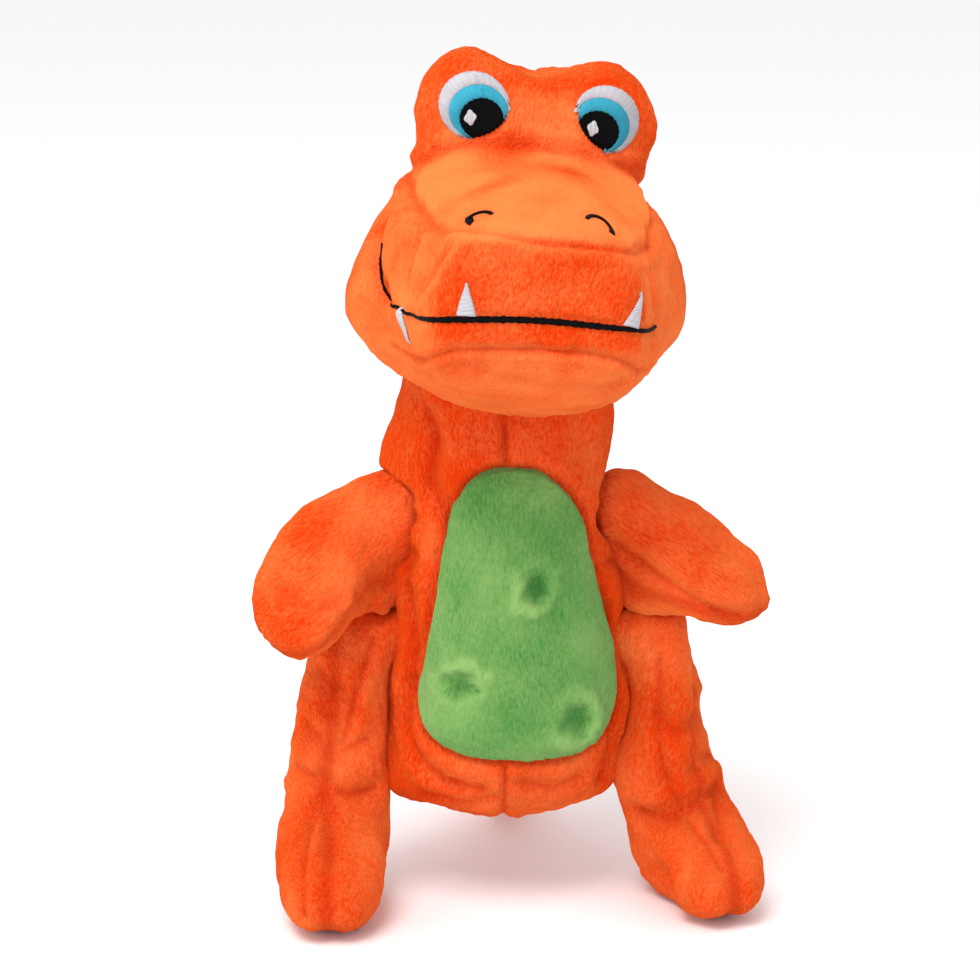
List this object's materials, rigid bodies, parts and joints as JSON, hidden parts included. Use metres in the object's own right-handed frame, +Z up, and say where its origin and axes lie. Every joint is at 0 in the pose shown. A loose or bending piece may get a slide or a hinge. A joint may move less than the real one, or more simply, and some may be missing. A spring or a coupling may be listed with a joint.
{
  "type": "stuffed dinosaur toy",
  "caption": "Plush dinosaur standing upright: orange pile skin over filling, green belly patch, embroidered face, floppy arms, legs and tail.",
  "frame": {"origin": "on the floor, at the middle of the bounding box's base", "axes": "+Z up, the dinosaur faces -Y, its own left side is at +X"},
  "size_m": [0.1648, 0.1768, 0.2725],
  "materials": {
    "orange_plush": "short brushed pile",
    "green_plush": "short brushed pile",
    "fibre_filling": "loose polyester fibre",
    "white_thread": "satin stitch",
    "blue_thread": "satin stitch",
    "black_thread": "satin stitch"
  },
  "bodies": {
    "torso": {"chest_panel_left": "orange_plush", "chest_panel_right": "orange_plush", "back_panel_left": "orange_plush", "back_panel_right": "orange_plush", "belly_patch": "green_plush", "torso_filling": "fibre_filling"},
    "neck": {"neck_panel_front": "orange_plush", "neck_panel_back": "orange_plush", "neck_filling": "fibre_filling"},
    "head": {"head_back_left": "orange_plush", "head_back_right": "orange_plush", "brow_panel": "orange_plush", "snout_top_panel": "orange_plush", "muzzle_front_panel": "orange_plush", "cheek_panel_left": "orange_plush", "cheek_panel_right": "orange_plush", "chin_panel": "orange_plush", "head_filling": "fibre_filling", "eye_white_left": "white_thread", "eye_iris_left": "blue_thread", "eye_pupil_left": "black_thread", "eye_glint_left": "white_thread", "eye_white_right": "white_thread", "eye_iris_right": "blue_thread", "eye_pupil_right": "black_thread", "eye_glint_right": "white_thread", "mouth_line": "black_thread", "nostril_left": "black_thread", "nostril_right": "black_thread", "tooth_upper_left": "white_thread", "tooth_upper_right": "white_thread", "tooth_lower_left": "white_thread", "tooth_lower_right": "white_thread"},
    "right_arm": {"arm_right_upper_panel": "orange_plush", "arm_right_under_panel": "orange_plush", "arm_right_filling": "fibre_filling"},
    "left_arm": {"arm_left_upper_panel": "orange_plush", "arm_left_under_panel": "orange_plush", "arm_left_filling": "fibre_filling"},
    "right_leg": {"leg_right_outer_panel": "orange_plush", "leg_right_inner_panel": "orange_plush", "leg_right_filling": "fibre_filling"},
    "left_leg": {"leg_left_outer_panel": "orange_plush", "leg_left_inner_panel": "orange_plush", "leg_left_filling": "fibre_filling"},
    "tail": {"tail_panel_left": "orange_plush", "tail_panel_right": "orange_plush", "tail_filling": "fibre_filling"}
  },
  "joints": [
    {"name": "neck_turn", "type": "hinge", "parent": "torso", "child": "neck", "pos_m": [-0.00169, -0.00336, 0.151], "axis": [0, 0, 1], "range_deg": [-35, 25]},
    {"name": "head_nod", "type": "hinge", "parent": "neck", "child": "head", "pos_m": [-0.00169, -0.00336, 0.172], "axis": [0.9899, 0.104, -0.0958], "range_deg": [-12, 8]},
    {"name": "right_arm_flap", "type": "hinge", "parent": "torso", "child": "right_arm", "pos_m": [-0.03733, -0.00336, 0.129], "axis": [0, 1, 0], "range_deg": [-5, 50]},
    {"name": "left_arm_flap", "type": "hinge", "parent": "torso", "child": "left_arm", "pos_m": [0.03395, -0.00336, 0.129], "axis": [0, -1, 0], "range_deg": [-5, 50]},
    {"name": "right_leg_swing", "type": "hinge", "parent": "torso", "child": "right_leg", "pos_m": [-0.03959, -0.00336, 0.088], "axis": [-1, 0, 0], "range_deg": [-15, 50]},
    {"name": "left_leg_swing", "type": "hinge", "parent": "torso", "child": "left_leg", "pos_m": [0.03621, -0.00336, 0.088], "axis": [-1, 0, 0], "range_deg": [-15, 50]},
    {"name": "tail_wag", "type": "hinge", "parent": "torso", "child": "tail", "pos_m": [-0.00169, 0.02447, 0.051], "axis": [0, 0, 1], "range_deg": [-20, 20]}
  ]
}
